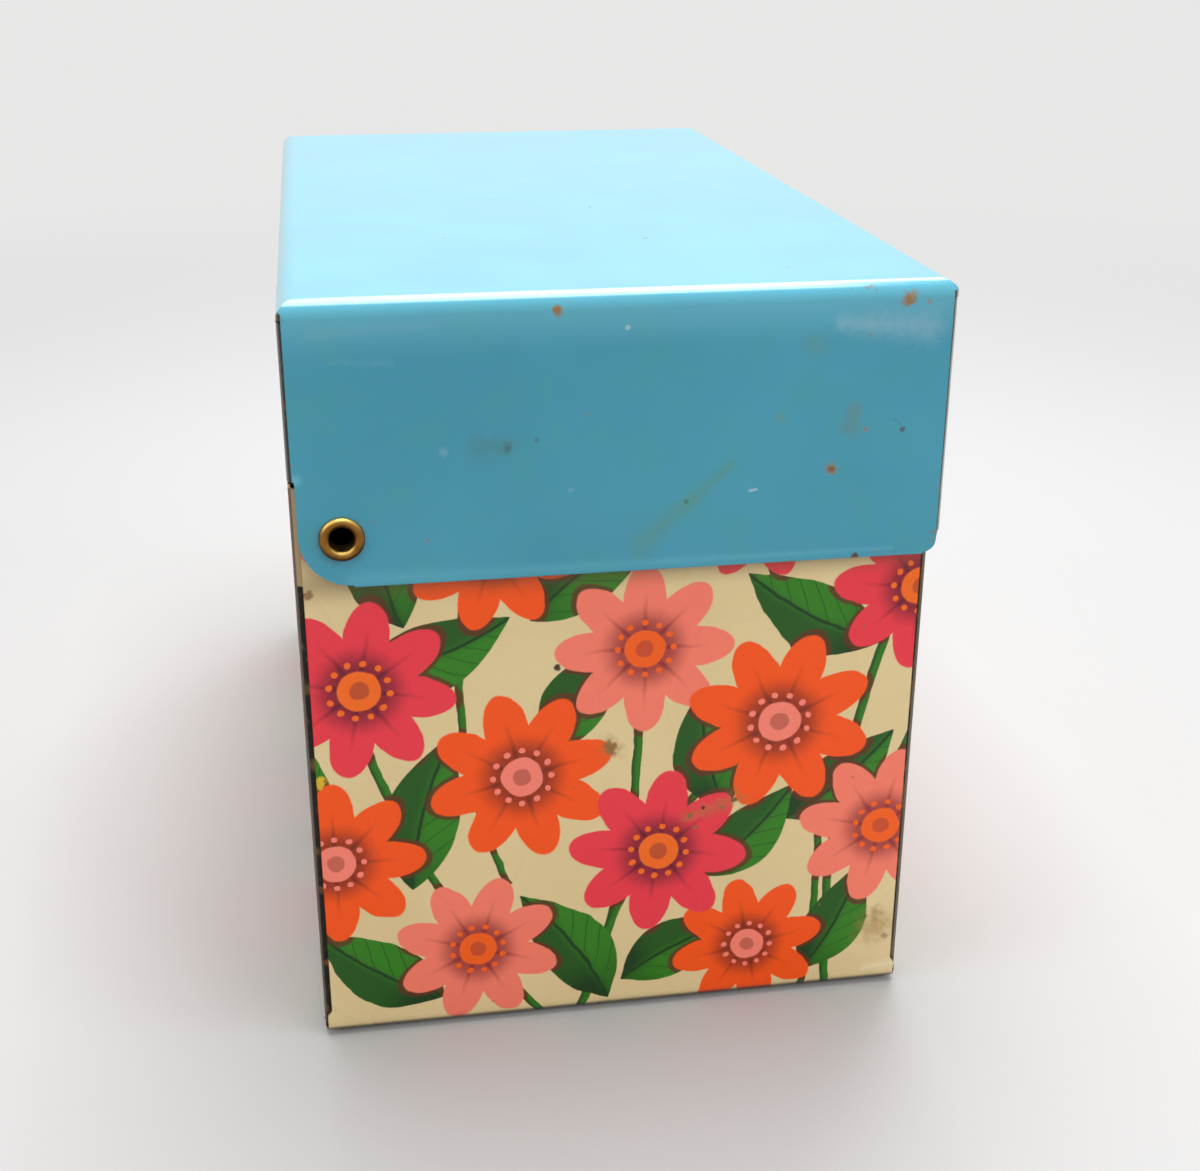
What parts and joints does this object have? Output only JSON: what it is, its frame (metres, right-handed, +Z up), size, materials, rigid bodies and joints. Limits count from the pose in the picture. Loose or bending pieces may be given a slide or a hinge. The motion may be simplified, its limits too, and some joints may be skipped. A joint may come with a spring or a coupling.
{
  "type": "recipe card box",
  "caption": "Folded tinplate box for index cards, with a deep hinged lid that swings back on a hollow eyelet through each end wall.",
  "frame": {"origin": "centre of the closed box's footprint, on the surface that it stands on", "axes": "+X along the box's length, +Y from the front wall towards the hinge, +Z up"},
  "size_m": [0.1392, 0.0762, 0.0944],
  "materials": {
    "body_enamel": "printed floral enamel on tinplate, satin, bare tinplate inside",
    "lid_enamel": "glossy aqua enamel on tinplate, bare tinplate inside",
    "eyelet_brass": "dull, tarnished"
  },
  "bodies": {
    "body": {"body_shell": "body_enamel", "left_eyelet": "eyelet_brass", "right_eyelet": "eyelet_brass"},
    "lid": {"lid_shell": "lid_enamel"}
  },
  "joints": [
    {"name": "lid_hinge", "type": "hinge", "parent": "body", "child": "lid", "pos_m": [0, 0.03245, 0.0675], "axis": [-1, 0, 0], "range_deg": [0, 98]}
  ]
}
